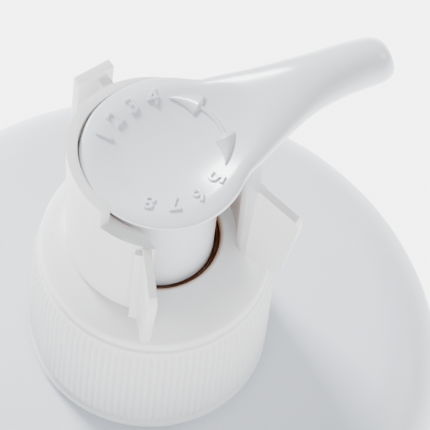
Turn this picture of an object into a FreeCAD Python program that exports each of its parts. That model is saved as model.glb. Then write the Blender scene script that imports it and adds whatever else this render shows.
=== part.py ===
import FreeCAD, Part, Sketcher

import math
import os

# Pump dispenser bottle: a round blow-moulded bottle closed by a ribbed screw cap, which clamps a
# piston pump in the neck. The pump's head is pressed down against a spring, and a C-shaped clip
# around the stem keeps it from being pressed. Millimetres, +Z up, origin at the centre of the base.

doc = FreeCAD.newDocument("pump_bottle")
sheet = doc.addObject("Spreadsheet::Sheet", "Sizes")


class Dim:
    """A size: its value in millimetres and the sheet expression that gives it."""

    def __init__(self, value, text=None):
        self.value = float(value)
        self.text = text if text else repr(float(value))

    @staticmethod
    def of(other):
        return other if isinstance(other, Dim) else Dim(other)

    def __add__(self, other):
        other = Dim.of(other)
        return Dim(self.value + other.value, f"({self.text} + {other.text})")

    def __sub__(self, other):
        other = Dim.of(other)
        return Dim(self.value - other.value, f"({self.text} - {other.text})")

    def __mul__(self, other):
        other = Dim.of(other)
        return Dim(self.value * other.value, f"({self.text} * {other.text})")

    def __truediv__(self, other):
        other = Dim.of(other)
        return Dim(self.value / other.value, f"({self.text} / {other.text})")


cell_count = 0


def cell(alias, value):
    """Write one driving dimension to the sheet and give it back as a Dim."""
    global cell_count
    cell_count += 1
    sheet.set(f"A{cell_count}", alias)
    sheet.set(f"B{cell_count}", str(value))
    sheet.setAlias(f"B{cell_count}", alias)
    return Dim(value, f"Sizes.{alias}")


# ---------------------------------------------------------------- driving dimensions
bottle_radius = cell("bottle_radius", 54.0)
bottle_wall = cell("bottle_wall", 1.6)
base_ring_radius = cell("base_ring_radius", 40.0)
base_push_up = cell("base_push_up", 1.5)
base_round = cell("base_round", 6.0)
shoulder_round = cell("shoulder_round", 13.0)
shoulder_drop = cell("shoulder_drop", 3.2)
cap_rim_height = cell("cap_rim_height", 226.0)
neck_radius = cell("neck_radius", 17.6)
neck_bore_radius = cell("neck_bore_radius", 15.0)
neck_length = cell("neck_length", 23.5)
thread_pitch = cell("thread_pitch", 4.23)
thread_crest_radius = cell("thread_crest_radius", 18.7)
thread_turns = cell("thread_turns", 1.3)

cap_radius = cell("cap_radius", 21.5)
cap_wall_radius = cell("cap_wall_radius", 20.8)
cap_bore_radius = cell("cap_bore_radius", 19.1)
cap_band_height = cell("cap_band_height", 24.9)
cap_groove_height = cell("cap_groove_height", 26.6)
cap_groove_radius = cell("cap_groove_radius", 20.4)
cap_crown_radius = cell("cap_crown_radius", 20.6)
cap_crown_height = cell("cap_crown_height", 28.4)
cap_dome_round = cell("cap_dome_round", 10.0)
cap_height = cell("cap_height", 32.9)
cap_ceiling_height = cell("cap_ceiling_height", 29.2)
cap_hole_radius = cell("cap_hole_radius", 11.8)
cap_thread_crest_radius = cell("cap_thread_crest_radius", 17.95)
rib_count = 104
rib_width = cell("rib_width", 0.75)
rib_bottom = cell("rib_bottom", 1.6)

gasket_thickness = cell("gasket_thickness", 1.2)
flange_radius = cell("flange_radius", 17.7)
flange_thickness = cell("flange_thickness", 1.8)
collar_flange_thickness = cell("collar_flange_thickness", 2.6)
cylinder_bore_radius = cell("cylinder_bore_radius", 12.25)
cylinder_wall = cell("cylinder_wall", 1.5)
cylinder_length = cell("cylinder_length", 66.0)
socket_length = cell("socket_length", 14.0)
tube_radius = cell("tube_radius", 4.0)
tube_bore_radius = cell("tube_bore_radius", 2.9)
tube_floor_gap = cell("tube_floor_gap", 4.0)

stem_radius = cell("stem_radius", 10.1)
stem_bore_radius = cell("stem_bore_radius", 8.4)
running_gap = cell("running_gap", 0.06)
guide_depth = cell("guide_depth", 14.0)
stroke = cell("stroke", 18.0)
piston_length = cell("piston_length", 10.0)
carrier_radius = cell("carrier_radius", 5.0)
outlet_ball_radius = cell("outlet_ball_radius", 3.2)
inlet_ball_radius = cell("inlet_ball_radius", 4.0)
spring_wire = cell("spring_wire", 1.2)
spring_radius = cell("spring_radius", 9.6)
spring_turns = cell("spring_turns", 8.0)

head_underside = cell("head_underside", 59.2)
head_thickness = cell("head_thickness", 1.6)
head_radius = cell("head_radius", 14.9)
head_edge_round = cell("head_edge_round", 1.1)
dish_radius = cell("dish_radius", 31.3)
dish_offset = cell("dish_offset", -2.5)
dish_depth = cell("dish_depth", 0.35)
plug_depth = cell("plug_depth", 8.0)
plug_well_radius = cell("plug_well_radius", 6.6)
spout_azimuth = cell("spout_azimuth", 32.5)

clip_azimuth = cell("clip_azimuth", -51.0)
clip_bottom = cell("clip_bottom", 33.1)
clip_low_top = cell("clip_low_top", 56.8)
clip_high_top = cell("clip_high_top", 62.4)
clip_slope = cell("clip_slope", 0.1915)
clip_inner_radius = cell("clip_inner_radius", 14.0)
clip_lip_inner_radius = cell("clip_lip_inner_radius", 15.3)
clip_bottom_radius = cell("clip_bottom_radius", 16.1)
clip_top_radius = cell("clip_top_radius", 17.3)
clip_gap_half = cell("clip_gap_half", 10.4)
wing_thickness = cell("wing_thickness", 1.5)
wing_root = cell("wing_root", 11.6)
wing_spread = cell("wing_spread", 24.0)
wing_reach_low = cell("wing_reach_low", 7.6)
wing_reach_high = cell("wing_reach_high", 10.2)
wing_top = cell("wing_top", 56.6)
tab_reach = cell("tab_reach", 23.4)
tab_thickness = cell("tab_thickness", 1.7)
tab_width = cell("tab_width", 7.2)
tab_height = cell("tab_height", 18.5)
tab_lift = cell("tab_lift", 4.0)
web_root = cell("web_root", 15.2)
web_reach = cell("web_reach", 22.0)
web_near = cell("web_near", 0.3)
web_far = cell("web_far", 2.3)
web_height = cell("web_height", 19.0)
web_lift = cell("web_lift", 2.0)
clip_slope_start = cell("clip_slope_start", 16.3)
clip_front_across = cell("clip_front_across", 4.9)
clip_front_side = cell("clip_front_side", 4.0)
clip_clearance = cell("clip_clearance", 30.0)
rib_angle = cell("rib_angle", 46.5)
rib_inner_radius = cell("rib_inner_radius", 15.0)
rib_outer_radius = cell("rib_outer_radius", 17.9)
rib_half_width = cell("rib_half_width", 0.8)
rib_step_down = cell("rib_step_down", 1.6)

doc.recompute()

rim = cap_rim_height
lip = rim + neck_length
flange_bottom = lip + gasket_thickness
flange_top = flange_bottom + flange_thickness
collar_top = flange_top + collar_flange_thickness
cylinder_bottom = flange_top - cylinder_length
guide_bottom = flange_top - guide_depth
piston_top = guide_bottom - 3.4
piston_bottom = piston_top - piston_length
socket_bottom = cylinder_bottom - 4.0 - socket_length
cage_top = cylinder_bottom + 2.0
underside = rim + head_underside

# ---------------------------------------------------------------- helpers
AXIS_ORIGIN, AXIS_X, AXIS_Y = -1, -1, -2
START, END, CENTRE = 1, 2, 3


def new_body(label):
    """Add an empty PartDesign body."""
    body = doc.addObject("PartDesign::Body", f"{label}_body")
    body.Label = label
    return body


def origin_item(body, role):
    """Find one of a body's own origin planes or axes by its role."""
    return next(item for item in body.Origin.OriginFeatures if item.Role == role)


def new_sketch(body, name, role, offset=None, hinge=None):
    """Add a sketch on one of the body's origin planes; offset is a Dim along the plane's normal.
    A hinge is (across, turn): the sketch starts that far across and is turned about its upright."""
    sketch = body.newObject("Sketcher::SketchObject", name)
    sketch.AttachmentSupport = (origin_item(body, role), "")
    sketch.MapMode = "FlatFace"
    if hinge is not None:
        sketch.AttachmentOffset = FreeCAD.Placement(
            FreeCAD.Vector(), FreeCAD.Rotation(FreeCAD.Vector(0, 1, 0), hinge[1].value))
        sketch.setExpression("AttachmentOffset.Base.x", hinge[0].text)
    if offset is not None:
        sketch.setExpression("AttachmentOffset.Base.z", offset.text)
    return sketch


def pin_point(sketch, geometry, end, across, along):
    """Tie one end of a sketch line to its two sheet-driven coordinates."""
    for kind, axis, coordinate in (("DistanceX", AXIS_Y, across), ("DistanceY", AXIS_X, along)):
        if abs(coordinate.value) < 1e-9:
            sketch.addConstraint(Sketcher.Constraint("PointOnObject", geometry, end, axis))
            continue
        index = sketch.addConstraint(
            Sketcher.Constraint(kind, AXIS_ORIGIN, START, geometry, end, coordinate.value))
        sketch.setExpression(f"Constraints[{index}]", coordinate.text)


def draw_outline(sketch, outline):
    """Draw a closed outline. Each entry is (across, along), or (across, along, radius) where the
    stretch that ends at this point is an arc whose centre lies to the left of its way."""
    points = [FreeCAD.Vector(Dim.of(p[0]).value, Dim.of(p[1]).value, 0) for p in outline]
    for index, entry in enumerate(outline):
        start, end = points[index - 1], points[index]
        if len(entry) == 2:
            sketch.addGeometry(Part.LineSegment(start, end), False)
            continue
        radius = Dim.of(entry[2])
        chord = end - start
        left = FreeCAD.Vector(-chord.y, chord.x, 0).normalize()
        depth = math.sqrt(radius.value ** 2 - (chord.Length / 2) ** 2)
        centre = (start + end) * 0.5 + left * depth
        middle = centre - left * radius.value
        arc = sketch.addGeometry(Part.Arc(start, middle, end), False)
        rule = sketch.addConstraint(Sketcher.Constraint("Radius", arc, radius.value))
        sketch.setExpression(f"Constraints[{rule}]", radius.text)
    count = len(outline)
    for index in range(count):
        following = (index + 1) % count
        sketch.addConstraint(Sketcher.Constraint("Coincident", index, END, following, START))
    for index, entry in enumerate(outline):
        pin_point(sketch, index, END, Dim.of(entry[0]), Dim.of(entry[1]))


def revolve(body, name, outline, groove=False):
    """Turn an outline of (radius, height) points about Z, adding to the body or cutting it."""
    sketch = new_sketch(body, f"{name}_outline", "XZ_Plane")
    draw_outline(sketch, outline)
    doc.recompute()
    kind = "PartDesign::Groove" if groove else "PartDesign::Revolution"
    feature = body.newObject(kind, name)
    feature.Profile = sketch
    feature.ReferenceAxis = (sketch, ["V_Axis"])
    feature.Angle = 360.0
    doc.recompute()
    return feature


def extrude(body, name, role, outline, length, offset=None, cut=False, reverse=False, hinge=None):
    """Pad or pocket a closed outline by a length from one of the body's planes."""
    before = body.Shape.Volume if body.Tip else 0.0
    sketch = new_sketch(body, f"{name}_outline", role, offset, hinge)
    draw_outline(sketch, outline)
    doc.recompute()
    feature = body.newObject("PartDesign::Pocket" if cut else "PartDesign::Pad", name)
    feature.Profile = sketch
    feature.setExpression("Length", length.text)
    feature.Reversed = reverse
    doc.recompute()
    change = body.Shape.Volume - before
    if (change > -1e-3) if cut else (change < 1e-3):
        raise RuntimeError(f"{name} changed nothing")
    return feature


def ring_edges(shape, places):
    """Names of the full-circle edges at the given (radius, height) places."""
    names = []
    for radius, height in places:
        for index, edge in enumerate(shape.Edges, 1):
            curve = edge.Curve
            if not isinstance(curve, Part.Circle) or abs(curve.Radius - radius.value) > 0.02:
                continue
            if abs(curve.Center.z - height.value) < 0.02:
                names.append(f"Edge{index}")
                break
        else:
            raise RuntimeError(f"no edge at radius {radius.value}, height {height.value}")
    return names


def round_edges(body, name, places, radius):
    """Fillet full-circle edges of a body."""
    tip = body.Tip
    feature = body.newObject("PartDesign::Fillet", name)
    feature.Base = (tip, ring_edges(tip.Shape, places))
    feature.setExpression("Radius", Dim.of(radius).text)
    doc.recompute()
    return feature


def helical_ridge(body, name, outline, turns):
    """Sweep an outline of (radius, height) points along the bottle's thread helix."""
    sketch = new_sketch(body, f"{name}_outline", "XZ_Plane")
    draw_outline(sketch, outline)
    doc.recompute()
    feature = body.newObject("PartDesign::AdditiveHelix", name)
    feature.Profile = sketch
    feature.ReferenceAxis = (sketch, ["V_Axis"])
    feature.Mode = "pitch-turns-angle"
    feature.setExpression("Pitch", thread_pitch.text)
    feature.setExpression("Turns", turns.text)
    feature.Angle = 0.0
    feature.LeftHanded = False
    feature.Reversed = False
    doc.recompute()
    return feature


def place(thing, across, deep, height, tip=None):
    """Put a Part object at a sheet-driven place, turned to point along tip if it is given."""
    if tip is not None:
        thing.Placement = FreeCAD.Placement(
            FreeCAD.Vector(), FreeCAD.Rotation(FreeCAD.Vector(0, 0, 1), tip))
    for letter, value in (("x", across), ("y", deep), ("z", height)):
        thing.setExpression(f"Placement.Base.{letter}", Dim.of(value).text)
    return thing


def primitive(kind, name, sizes):
    """Add a Part primitive and bind its sizes to the sheet."""
    thing = doc.addObject(kind, name)
    for prop, value in sizes.items():
        thing.setExpression(prop, Dim.of(value).text)
    return thing


def combine(kind, name, first, second):
    """Join or cut two Part objects."""
    result = doc.addObject(kind, name)
    result.Base = first
    result.Tool = second
    doc.recompute()
    return result



parts = []


def keep(thing, label):
    """List a finished sub-part under the name of its file."""
    thing.Label = label
    parts.append(thing)
    return thing


# ---------------------------------------------------------------- bottle
def make_bottle():
    """Shell with a pushed-up base, a rounded shoulder and a threaded neck."""
    inner = bottle_radius - bottle_wall
    shoulder_edge = rim - 1.0 - shoulder_drop
    body = new_body("bottle")
    revolve(body, "bottle_shell", [
        (0, base_push_up), (base_ring_radius - 2.0, base_push_up), (base_ring_radius, 0),
        (bottle_radius, 0), (bottle_radius, shoulder_edge), (neck_radius, rim - 1.0),
        (neck_radius, lip), (neck_bore_radius, lip), (neck_bore_radius, rim - 2.8),
        (inner, shoulder_edge - 1.7), (inner, bottle_wall), (base_ring_radius + 0.5, bottle_wall),
        (base_ring_radius - 1.5, base_push_up + bottle_wall), (0, base_push_up + bottle_wall),
    ])
    round_edges(body, "base_rounding", [(bottle_radius, Dim(0))], base_round)
    round_edges(body, "inner_base_rounding", [(inner, bottle_wall)], base_round - bottle_wall)
    round_edges(body, "shoulder_rounding", [(bottle_radius, shoulder_edge)], shoulder_round)
    round_edges(body, "inner_shoulder_rounding", [(inner, shoulder_edge - 1.7)],
                shoulder_round - bottle_wall)
    bottom = rim + 11.0
    helical_ridge(body, "neck_thread", [
        (neck_radius - 0.2, bottom), (thread_crest_radius, bottom + 0.5),
        (thread_crest_radius, bottom + 1.6), (neck_radius - 0.2, bottom + 2.1),
    ], thread_turns)
    return keep(body, "bottle")


# ---------------------------------------------------------------- screw cap
def make_cap():
    """Ribbed closure: threaded wall, domed crown, and a hole for the stem."""
    body = new_body("cap")
    revolve(body, "cap_shell", [
        (cap_bore_radius, rim), (cap_radius - 0.1, rim), (cap_radius - 0.1, rim + rib_bottom),
        (cap_wall_radius, rim + rib_bottom), (cap_wall_radius, rim + cap_groove_height - 0.3),
        (cap_groove_radius, rim + cap_groove_height), (cap_crown_radius, rim + cap_groove_height + 0.4),
        (cap_crown_radius, rim + cap_crown_height),
        (cap_hole_radius, rim + cap_height, cap_dome_round),
        (cap_hole_radius, rim + cap_ceiling_height), (cap_bore_radius - 1.3, rim + cap_ceiling_height),
        (cap_bore_radius, rim + cap_ceiling_height - 1.7),
    ])
    bottom = rim + 11.0 - thread_pitch / 2 + 0.45
    helical_ridge(body, "cap_thread", [
        (cap_thread_crest_radius, bottom + 0.35), (cap_bore_radius + 0.2, bottom),
        (cap_bore_radius + 0.2, bottom + 1.2), (cap_thread_crest_radius, bottom + 0.85),
    ], thread_turns - 0.1)
    half = rib_width / 2
    extrude(body, "rib", "XY_Plane", [
        (cap_wall_radius - 0.4, half * -1.3), (cap_radius, half * -0.45),
        (cap_radius, half * 0.45), (cap_wall_radius - 0.4, half * 1.3),
    ], cap_band_height - rib_bottom + 0.2, offset=rim + rib_bottom - 0.2)
    pattern = body.newObject("PartDesign::PolarPattern", "ribs")
    pattern.Originals = [doc.getObject("rib")]
    pattern.Axis = (origin_item(body, "Z_Axis"), [""])
    pattern.Angle = 360.0
    pattern.Occurrences = rib_count
    body.Tip = pattern
    doc.recompute()
    return keep(body, "cap")


# ---------------------------------------------------------------- pump, fixed part
def make_gasket():
    """Flat washer between the neck's lip and the pump's flange."""
    inner = cylinder_bore_radius + cylinder_wall + 0.2
    body = new_body("gasket")
    revolve(body, "gasket_ring", [
        (inner, lip), (flange_radius, lip), (flange_radius, flange_bottom), (inner, flange_bottom)])
    return keep(body, "gasket")


def make_housing():
    """Pump cylinder with its flange, inlet valve seat, dip tube socket and vent hole."""
    outer = cylinder_bore_radius + cylinder_wall
    seat = cylinder_bottom - 4.0
    body = new_body("pump_housing")
    revolve(body, "housing_shell", [
        (outer, flange_bottom), (flange_radius, flange_bottom), (flange_radius, flange_top),
        (cylinder_bore_radius, flange_top), (cylinder_bore_radius, cylinder_bottom),
        (inlet_ball_radius + 0.6, cylinder_bottom), (inlet_ball_radius + 0.6, cylinder_bottom - 1.0),
        (tube_bore_radius, seat), (tube_bore_radius, seat - 1.5), (tube_radius, seat - 1.5),
        (tube_radius, socket_bottom), (tube_radius + 1.4, socket_bottom), (tube_radius + 1.4, seat - 1.0),
        (outer - 2.0, cylinder_bottom - 1.6), (outer, cylinder_bottom + 0.6),
    ])
    extrude(body, "vent_hole", "YZ_Plane", [
        (Dim(-1.0), guide_bottom - 7.0), (Dim(1.0), guide_bottom - 7.0),
        (Dim(1.0), guide_bottom - 5.0), (Dim(-1.0), guide_bottom - 5.0),
    ], outer + 1.0, cut=True, reverse=True)
    return keep(body, "pump_housing")


def make_guide_collar():
    """Bush that is clamped under the cap and guides the stem."""
    sleeve = cylinder_bore_radius - 0.05
    body = new_body("guide_collar")
    revolve(body, "collar_shell", [
        (sleeve, flange_top), (flange_radius, flange_top), (flange_radius, collar_top),
        (cap_hole_radius, collar_top), (cap_hole_radius, flange_top), (stem_radius + 0.9, flange_top - 1.0),
        (stem_radius + 0.9, guide_bottom + 6.0), (stem_radius + running_gap, guide_bottom + 5.5),
        (stem_radius + running_gap, guide_bottom), (sleeve, guide_bottom),
    ])
    return keep(body, "guide_collar")


def make_stem_seal():
    """Wiper ring under the guide collar."""
    outer = cylinder_bore_radius - 0.05
    body = new_body("stem_seal")
    revolve(body, "seal_ring", [
        (stem_radius + running_gap, guide_bottom - 0.1), (outer, guide_bottom - 0.1),
        (outer, guide_bottom - 2.4), (outer - 0.8, guide_bottom - 2.4),
        (outer - 1.1, guide_bottom - 1.2), (stem_radius + running_gap, guide_bottom - 1.9),
    ])
    return keep(body, "stem_seal")


def make_inlet_cage():
    """Spring seat with a cage that keeps the inlet ball near its seat."""
    outer = cylinder_bore_radius - 0.1
    cage_bore = inlet_ball_radius + 0.4
    body = new_body("inlet_ball_cage")
    revolve(body, "cage_shell", [
        (cage_bore, cylinder_bottom + 0.05), (outer, cylinder_bottom + 0.05), (outer, cage_top),
        (cage_bore + 1.6, cage_top), (cage_bore + 1.2, cage_top + 4.5), (2.2, cage_top + 4.5),
        (2.2, cage_top + 3.2), (cage_bore, cage_top + 3.2),
    ])
    for index, role in enumerate(("XZ_Plane", "YZ_Plane")):
        half = Dim(1.4)
        extrude(body, f"cage_window_{index}", role, [
            (half * -1, cage_top + 0.6), (half, cage_top + 0.6),
            (half, cage_top + 2.8), (half * -1, cage_top + 2.8),
        ], outer, cut=True)
    return keep(body, "inlet_ball_cage")


def make_ball(label, radius, height):
    """Steel valve ball with its centre at a height on the pump's axis."""
    ball = primitive("Part::Sphere", label, {"Radius": radius})
    place(ball, 0, 0, height)
    doc.recompute()
    return keep(ball, label)


def make_dip_tube():
    """Suction tube from the socket to just above the bottle's floor."""
    top = cylinder_bottom - 5.6
    bottom = base_push_up + bottle_wall + tube_floor_gap
    body = new_body("dip_tube")
    revolve(body, "tube_wall", [
        (tube_bore_radius, bottom), (tube_radius, bottom), (tube_radius, top), (tube_bore_radius, top)])
    extrude(body, "slanted_end", "XZ_Plane", [
        (Dim(-6.0), bottom - 1.0), (Dim(6.0), bottom - 1.0), (Dim(6.0), bottom + 6.0),
    ], Dim(12.0), offset=Dim(-6.0), cut=True, reverse=True)
    return keep(body, "dip_tube")


# ---------------------------------------------------------------- plunger
def make_stem():
    """Hollow piston rod that carries the head."""
    body = new_body("stem")
    revolve(body, "stem_wall", [
        (stem_bore_radius, piston_top + 0.1), (stem_radius, piston_top + 0.1), (stem_radius, underside),
        (stem_bore_radius, underside)])
    return keep(body, "stem")


def make_piston():
    """Cup piston with a sealing lip at each end."""
    outer = cylinder_bore_radius - running_gap
    bore = carrier_radius + 0.05
    body = new_body("piston")
    revolve(body, "piston_cup", [
        (bore, piston_bottom + 3.0), (outer - 2.2, piston_bottom + 3.0), (outer - 0.9, piston_bottom),
        (outer, piston_bottom), (outer, piston_bottom + 1.0), (outer - 0.5, piston_bottom + 2.2),
        (outer - 0.5, piston_top - 2.2), (outer, piston_top - 1.0), (outer, piston_top),
        (outer - 0.9, piston_top), (outer - 1.9, piston_top - 2.4), (bore, piston_top - 2.4),
    ])
    return keep(body, "piston")


def make_piston_carrier():
    """Hollow plug that joins the piston to the stem and forms the outlet valve's seat."""
    bore = Dim(2.4)
    ball_bore = outlet_ball_radius + 0.3
    seat = piston_top + 1.0
    body = new_body("piston_carrier")
    revolve(body, "carrier_plug", [
        (bore, piston_bottom + 1.2), (carrier_radius + 1.6, piston_bottom + 1.2),
        (carrier_radius + 1.6, piston_bottom + 2.9), (carrier_radius, piston_bottom + 2.9),
        (carrier_radius, piston_top - 2.3), (stem_bore_radius - 0.05, piston_top - 2.3),
        (stem_bore_radius - 0.05, piston_top + 9.0), (ball_bore, piston_top + 9.0),
        (ball_bore, seat + 1.0), (bore, seat),
    ])
    return keep(body, "piston_carrier")


def make_outlet_cage():
    """Pressed-in ring that keeps the outlet ball in the carrier."""
    body = new_body("outlet_ball_cage")
    revolve(body, "cage_ring", [
        (1.6, piston_top + 9.05), (stem_bore_radius - 0.1, piston_top + 9.05),
        (stem_bore_radius - 0.1, piston_top + 10.6), (1.6, piston_top + 10.6)])
    return keep(body, "outlet_ball_cage")


def make_spring():
    """Return spring between the inlet cage and the piston."""
    bottom = cage_top + spring_wire / 2 + 0.05
    height = piston_bottom - cage_top - spring_wire + 1.6
    body = new_body("spring")
    sketch = new_sketch(body, "spring_wire_outline", "XZ_Plane")
    centre = FreeCAD.Vector(spring_radius.value, bottom.value, 0)
    normal = FreeCAD.Vector(0, 0, 1)
    sketch.addGeometry(Part.Circle(centre, normal, spring_wire.value / 2), False)
    for kind, size in (("DistanceX", spring_radius), ("DistanceY", bottom)):
        index = sketch.addConstraint(
            Sketcher.Constraint(kind, AXIS_ORIGIN, START, 0, CENTRE, size.value))
        sketch.setExpression(f"Constraints[{index}]", size.text)
    index = sketch.addConstraint(Sketcher.Constraint("Radius", 0, spring_wire.value / 2))
    sketch.setExpression(f"Constraints[{index}]", (spring_wire / 2).text)
    doc.recompute()
    coil = body.newObject("PartDesign::AdditiveHelix", "spring_coil")
    coil.Profile = sketch
    coil.ReferenceAxis = (sketch, ["V_Axis"])
    coil.Mode = "height-turns-angle"
    coil.setExpression("Height", height.text)
    coil.setExpression("Turns", spring_turns.text)
    coil.Angle = 0.0
    doc.recompute()
    return keep(body, "spring")


# ---------------------------------------------------------------- head
SPOUT_STATIONS = (
    # distance from the axis, half width, half height, height of the centre over the underside
    (4.0, 11.6, 1.3, 1.3), (9.0, 10.7, 1.8, 1.85), (14.0, 9.3, 2.4, 2.9), (20.0, 7.2, 3.1, 4.5),
    (26.0, 5.6, 3.65, 5.9), (32.0, 4.8, 4.1, 6.1), (37.0, 4.5, 4.3, 5.6), (40.5, 4.3, 4.15, 4.9),
    (42.0, 3.8, 3.7, 4.5), (42.8, 3.15, 3.1, 4.25),
)
CHANNEL_STATIONS = (
    # distance from the axis, half width, half height, height of the centre over the underside
    (4.2, 2.8, 0.45, -1.30), (5.8, 3.4, 0.40, -0.50), (7.2, 4.0, 0.34, 0.22), (8.6, 4.5, 0.34, 0.78),
    (10.5, 5.0, 0.5, 1.25), (14.0, 5.2, 0.9, 2.5), (20.0, 4.2, 1.6, 4.3), (26.0, 3.2, 2.2, 5.8),
    (32.0, 2.6, 2.5, 6.1), (37.0, 2.6, 2.5, 5.6), (40.5, 2.6, 2.5, 4.9), (43.4, 2.6, 2.5, 4.05),
)


def ellipse_loft(name, stations):
    """Loft ellipses that stand across the spout's way, each (distance, half width, half height,
    height over the underside)."""
    along = FreeCAD.Rotation(
        FreeCAD.Vector(0, 1, 0), FreeCAD.Vector(0, 0, 1), FreeCAD.Vector(1, 0, 0), "ZXY")
    sections = []
    for index, (distance, wide, tall, height) in enumerate(stations):
        section = primitive("Part::Ellipse", f"{name}_{index}", {
            "MajorRadius": wide, "MinorRadius": tall})
        section.Placement = FreeCAD.Placement(FreeCAD.Vector(), along)
        place(section, distance, 0, underside + height)
        sections.append(section)
    doc.recompute()
    loft = doc.addObject("Part::Loft", name)
    loft.Sections = sections
    loft.Solid = True
    loft.Ruled = False
    doc.recompute()
    return loft


def make_head():
    """Actuator: round dished end, long spout with its channel, and a plug for the stem."""
    disc = primitive("Part::Cylinder", "head_disc", {"Radius": head_radius, "Height": head_thickness})
    place(disc, 0, 0, underside)
    doc.recompute()
    rounded = doc.addObject("Part::Fillet", "head_disc_rounded")
    rounded.Base = disc
    corners = ring_edges(disc.Shape, [(head_radius, underside + head_thickness)])
    rounded.Edges = [(int(corner[4:]), head_edge_round.value, head_edge_round.value) for corner in corners]
    doc.recompute()
    spout = ellipse_loft("spout_skin", SPOUT_STATIONS)
    plug = primitive("Part::Cylinder", "head_plug", {
        "Radius": stem_bore_radius - 0.02, "Height": plug_depth + 0.6})
    place(plug, 0, 0, underside - plug_depth)
    solid = combine("Part::Fuse", "head_with_spout", rounded, spout)
    solid = combine("Part::Fuse", "head_with_plug", solid, plug)
    ball = primitive("Part::Sphere", "dish_ball", {"Radius": dish_radius})
    place(ball, dish_offset, 0, underside + dish_radius - dish_depth)
    solid = combine("Part::Cut", "head_dished", solid, ball)
    well = primitive("Part::Cylinder", "plug_well", {"Radius": plug_well_radius, "Height": plug_depth + 0.6})
    place(well, 0, 0, underside - plug_depth - 1.6)
    solid = combine("Part::Cut", "head_welled", solid, well)
    channel = ellipse_loft("spout_channel", CHANNEL_STATIONS)
    solid = combine("Part::Cut", "head_channel_cut", solid, channel)
    turned = doc.addObject("Part::Compound", "head_turned")
    turned.Links = [solid]
    turned.setExpression("Placement.Rotation.Angle", spout_azimuth.text)
    doc.recompute()
    return keep(turned, "head")


# ---------------------------------------------------------------- lock clip
def make_lock_clip():
    """C-shaped clip around the stem, made with its opening along +X and turned into place."""
    bottom = rim + clip_bottom
    top = rim + clip_high_top + 1.0
    low = rim + clip_low_top
    reach = clip_clearance
    body = new_body("lock_clip")
    revolve(body, "clip_wall", [
        (clip_inner_radius, bottom), (clip_bottom_radius, bottom), (clip_top_radius, top),
        (clip_lip_inner_radius, top), (clip_lip_inner_radius, low), (clip_inner_radius, low),
    ])
    extrude(body, "clip_opening", "XY_Plane", [
        (Dim(1.0), clip_gap_half * -1), (reach, clip_gap_half * -1), (reach, clip_gap_half),
        (Dim(1.0), clip_gap_half),
    ], Dim(40.0), offset=bottom - 2.0, cut=True, reverse=True)
    left_height = rim + clip_high_top + clip_slope * (reach - clip_slope_start)
    right_height = rim + clip_high_top - clip_slope * (reach + clip_slope_start)
    extrude(body, "slanted_top", "YZ_Plane", [
        (reach * -1, left_height), (reach, right_height), (reach, rim + 80.0), (reach * -1, rim + 80.0),
    ], Dim(60.0), offset=Dim(-30.0), cut=True, reverse=True)
    extrude(body, "low_front", "XY_Plane", [
        (clip_front_across, reach * -1), (reach, reach * -1), (reach, clip_front_side * -1),
        (clip_front_across, clip_front_side * -1),
    ], Dim(20.0), offset=low, cut=True, reverse=True)
    wing = [
        (Dim(0), bottom), (wing_reach_low - 1.0, bottom), (wing_reach_low, bottom + 1.4),
        (wing_reach_high, rim + wing_top - 5.0), (wing_reach_high - 0.8, rim + wing_top - 3.0),
        (Dim(2.0), rim + wing_top), (Dim(0), rim + wing_top),
    ]
    extrude(body, "left_wing", "XZ_Plane", wing, wing_thickness, offset=clip_gap_half,
            hinge=(wing_root, wing_spread * -1))
    extrude(body, "right_wing", "XZ_Plane", wing, wing_thickness, offset=clip_gap_half * -1,
            reverse=True, hinge=(wing_root, wing_spread))
    for name, side in (("left_rib", -1.0), ("right_rib", 1.0)):
        angle = math.radians(rib_angle.value)
        out_x, out_y = math.cos(angle), side * math.sin(angle)
        side_x, side_y = -out_y * side * rib_half_width.value, out_x * side * rib_half_width.value
        near, far = rib_inner_radius, rib_outer_radius
        extrude(body, name, "XY_Plane", [
            (near * out_x - side_x, near * out_y - side_y), (far * out_x - side_x, far * out_y - side_y),
            (far * out_x + side_x, far * out_y + side_y), (near * out_x + side_x, near * out_y + side_y),
        ], clip_low_top - clip_bottom - rib_step_down, offset=bottom)
    extrude(body, "pull_web", "XY_Plane", [
        (web_reach * -1, web_near), (web_root * -1, web_near),
        (web_root * -1, web_far), (web_reach * -1, web_far),
    ], web_height, offset=bottom + web_lift)
    extrude(body, "pull_plate", "XY_Plane", [
        (tab_reach * -1, tab_width / -2), (tab_thickness - tab_reach, tab_width / -2),
        (tab_thickness - tab_reach, tab_width / 2), (tab_reach * -1, tab_width / 2),
    ], tab_height, offset=bottom + tab_lift)
    body.setExpression("Placement.Rotation.Angle", clip_azimuth.text)
    doc.recompute()
    return keep(body, "lock_clip")


# ---------------------------------------------------------------- build and write
make_bottle()
make_cap()
make_gasket()
make_housing()
make_guide_collar()
make_stem_seal()
make_inlet_cage()
make_ball("inlet_ball", inlet_ball_radius, cylinder_bottom + 0.5)
make_dip_tube()
make_stem()
make_piston()
make_piston_carrier()
make_ball("outlet_ball", outlet_ball_radius, piston_top + 4.6)
make_outlet_cage()
make_spring()
make_head()
make_lock_clip()
doc.recompute()

for item in doc.Objects:
    if "Invalid" in item.State or "Error" in item.State:
        raise RuntimeError(f"{item.Name} did not build: {item.State}")
for thing in parts:
    shape = thing.Shape
    if shape.isNull() or not shape.isValid() or len(shape.Solids) != 1:
        raise RuntimeError(f"{thing.Label} is not one valid solid")

os.makedirs("parts", exist_ok=True)
for thing in parts:
    thing.Shape.exportStep(f"parts/{thing.Label}.step")
    box = thing.Shape.BoundBox
    print(f"{thing.Label:18s} volume {thing.Shape.Volume / 1000:8.2f} cm3  "
          f"x {box.XMin:6.1f} {box.XMax:6.1f}  y {box.YMin:6.1f} {box.YMax:6.1f}  "
          f"z {box.ZMin:6.1f} {box.ZMax:6.1f}")
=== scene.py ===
"""Studio scene of a pump dispenser bottle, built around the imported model."""

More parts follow.
